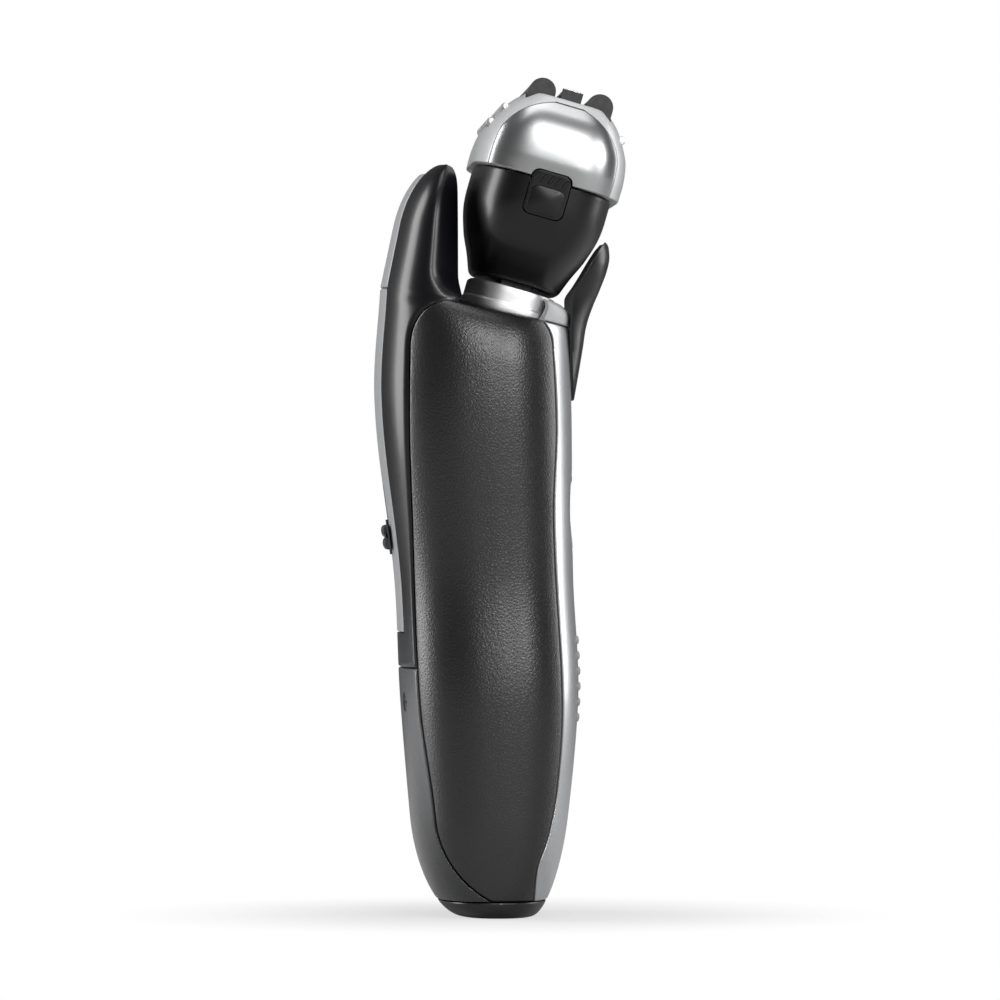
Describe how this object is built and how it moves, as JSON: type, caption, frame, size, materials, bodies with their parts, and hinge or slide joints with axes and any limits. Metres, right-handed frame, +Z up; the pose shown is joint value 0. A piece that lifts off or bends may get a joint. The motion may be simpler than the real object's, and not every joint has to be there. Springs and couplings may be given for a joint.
{
  "type": "electric shaver",
  "caption": "Cordless foil shaver with a tilting head, floating foils, glide rollers, a pop-up trimmer in the rear guard and grained side grips.",
  "frame": {"origin": "centre of the bounding box in X and Y, on the flat base in Z", "axes": "+Z up the handle, +X towards the front with the power button, +Y across the handle along the foils"},
  "size_m": [0.0496, 0.0702, 0.1669],
  "materials": {
    "grip_elastomer": "fine leather grain",
    "silver_shell": "satin silver lacquer",
    "button_metal": "satin",
    "bright_ring": "polished",
    "clear_lens": "clear",
    "soft_dots": "matt",
    "black_shell": "satin",
    "grey_panel": "satin",
    "smoky_panel": "smoky gloss",
    "black_base": "satin",
    "contact_metal": "bright",
    "inner_plastic": "moulded",
    "collar_metal": "bright satin",
    "boot_rubber": "matt",
    "trim_plastic": "satin",
    "pin_steel": "ground",
    "gloss_black": "polished",
    "frame_plastic": "frosted grey",
    "end_metal": "satin",
    "roller_metal": "polished",
    "foil_steel": "perforated",
    "holder_plastic": "moulded",
    "blade_steel": "ground",
    "motor_steel": "laminated",
    "coil_copper": "enamelled wire",
    "switch_plastic": "satin",
    "cell_wrap": "metal can in a shrink sleeve",
    "board_green": "solder mask",
    "chip_black": "moulded"
  },
  "bodies": {
    "handle": {"grip_left": "grip_elastomer", "grip_right": "grip_elastomer", "front_shell": "silver_shell", "power_button_ring": "bright_ring", "indicator_lens": "clear_lens", "finger_dots": "soft_dots", "rear_shell": "black_shell", "rear_panel": "grey_panel", "rear_lower_panel": "smoky_panel", "base_cap": "black_base", "charging_contacts": "contact_metal", "inner_housing": "inner_plastic", "neck_collar": "collar_metal", "neck_boot": "boot_rubber", "neck_trim": "trim_plastic", "front_guard": "black_shell", "neck_deck": "inner_plastic", "neck_fork": "inner_plastic", "tilt_pins": "pin_steel", "panel_screws": "pin_steel", "chassis": "inner_plastic", "battery_cell": "cell_wrap", "cell_contacts": "pin_steel", "circuit_board": "board_green", "board_parts": "chip_black", "power_switch": "pin_steel", "indicator_lamp": "clear_lens"},
    "power_button": {"power_button": "button_metal"},
    "trimmer_switch": {"trimmer_switch": "switch_plastic"},
    "trimmer": {"trimmer_cover": "grey_panel", "trimmer_carriage": "holder_plastic", "trimmer_comb": "blade_steel"},
    "trimmer_blade": {"trimmer_blade": "blade_steel"},
    "head": {"head_housing": "gloss_black", "head_chassis": "inner_plastic", "motor_stator": "motor_steel", "motor_coils": "coil_copper", "head_deck": "inner_plastic", "float_springs": "pin_steel", "release_springs": "pin_steel", "foil_frame": "frame_plastic", "end_panel_left": "end_metal", "end_panel_right": "end_metal", "tilt_bushes": "contact_metal"},
    "release_left": {"release_button_left": "gloss_black"},
    "release_right": {"release_button_right": "gloss_black"},
    "rear_foil_unit": {"rear_foil": "foil_steel", "rear_foil_holder": "holder_plastic"},
    "front_foil_unit": {"front_foil": "foil_steel", "front_foil_holder": "holder_plastic"},
    "centre_unit": {"centre_holder": "holder_plastic", "centre_comb": "blade_steel"},
    "rear_blade": {"rear_blade": "blade_steel"},
    "front_blade": {"front_blade": "blade_steel"},
    "centre_cutter": {"centre_cutter": "blade_steel"},
    "armature_rear": {"armature_rear": "motor_steel"},
    "armature_front": {"armature_front": "motor_steel"},
    "rear_roller_upper": {"rear_roller_upper": "roller_metal"},
    "rear_roller_lower": {"rear_roller_lower": "roller_metal"},
    "front_roller": {"front_roller": "roller_metal"}
  },
  "joints": [
    {"name": "head_tilt", "type": "hinge", "parent": "handle", "child": "head", "pos_m": [0.00611, 0, 0.1394], "axis": [0, 1, 0], "range_deg": [-5, 5], "stiffness_Nm_per_rad": 0.15},
    {"name": "power_press", "type": "slide", "parent": "handle", "child": "power_button", "axis": [-1, 0, -0.0089], "range_m": [0, 0.0006], "stiffness_N_per_m": 900, "springref_m": -0.0004},
    {"name": "switch_slide", "type": "slide", "parent": "handle", "child": "trimmer_switch", "axis": [-0.1325, 0, 0.9912], "range_m": [0, 0.007]},
    {"name": "trimmer_slide", "type": "slide", "parent": "handle", "child": "trimmer", "axis": [0.2079, 0, 0.9781], "range_m": [0, 0.007]},
    {"name": "trimmer_stroke", "type": "slide", "parent": "trimmer", "child": "trimmer_blade", "axis": [0, 1, 0], "range_m": [-0.0007, 0.0007]},
    {"name": "release_left_press", "type": "slide", "parent": "head", "child": "release_left", "axis": [0.0384, -0.9903, 0.1338], "range_m": [0, 0.0012], "stiffness_N_per_m": 600, "springref_m": -0.0004},
    {"name": "release_right_press", "type": "slide", "parent": "head", "child": "release_right", "axis": [0.0384, 0.9903, 0.1338], "range_m": [0, 0.0012], "stiffness_N_per_m": 600, "springref_m": -0.0004},
    {"name": "rear_foil_float", "type": "slide", "parent": "head", "child": "rear_foil_unit", "axis": [-0.2756, 0, -0.9613], "range_m": [0, 0.0012], "stiffness_N_per_m": 500, "springref_m": -0.0004, "deforming": ["float_springs"]},
    {"name": "front_foil_float", "type": "slide", "parent": "head", "child": "front_foil_unit", "axis": [-0.2756, 0, -0.9613], "range_m": [0, 0.0012], "stiffness_N_per_m": 500, "springref_m": -0.0004, "deforming": ["float_springs"]},
    {"name": "centre_float", "type": "slide", "parent": "head", "child": "centre_unit", "axis": [-0.2756, 0, -0.9613], "range_m": [0, 0.0012], "stiffness_N_per_m": 500, "springref_m": -0.0004},
    {"name": "motor_stroke", "type": "slide", "parent": "head", "child": "armature_rear", "axis": [0, 1, 0], "range_m": [-0.001, 0.001]},
    {"name": "motor_counter_stroke", "type": "slide", "parent": "head", "child": "armature_front", "axis": [0, 1, 0], "range_m": [-0.001, 0.001]},
    {"name": "rear_blade_stroke", "type": "slide", "parent": "rear_foil_unit", "child": "rear_blade", "axis": [0, 1, 0], "range_m": [-0.001, 0.001]},
    {"name": "front_blade_stroke", "type": "slide", "parent": "front_foil_unit", "child": "front_blade", "axis": [0, 1, 0], "range_m": [-0.001, 0.001]},
    {"name": "centre_cutter_stroke", "type": "slide", "parent": "centre_unit", "child": "centre_cutter", "axis": [0, 1, 0], "range_m": [-0.001, 0.001]},
    {"name": "rear_upper_roller_spin", "type": "hinge", "parent": "head", "child": "rear_roller_upper", "pos_m": [-0.00004, 0, 0.16134], "axis": [0, 1, 0], "continuous": true},
    {"name": "rear_lower_roller_spin", "type": "hinge", "parent": "head", "child": "rear_roller_lower", "pos_m": [-0.00291, 0, 0.15842], "axis": [0, 1, 0], "continuous": true},
    {"name": "front_roller_spin", "type": "hinge", "parent": "head", "child": "front_roller", "pos_m": [0.02295, 0, 0.15475], "axis": [0, 1, 0], "continuous": true}
  ],
  "couplings": [
    {"joint": "trimmer_slide", "follows": "switch_slide", "ratio": 1},
    {"joint": "motor_counter_stroke", "follows": "motor_stroke", "ratio": -1},
    {"joint": "rear_blade_stroke", "follows": "motor_stroke", "ratio": 1},
    {"joint": "front_blade_stroke", "follows": "motor_stroke", "ratio": -1},
    {"joint": "centre_cutter_stroke", "follows": "motor_stroke", "ratio": -1}
  ]
}
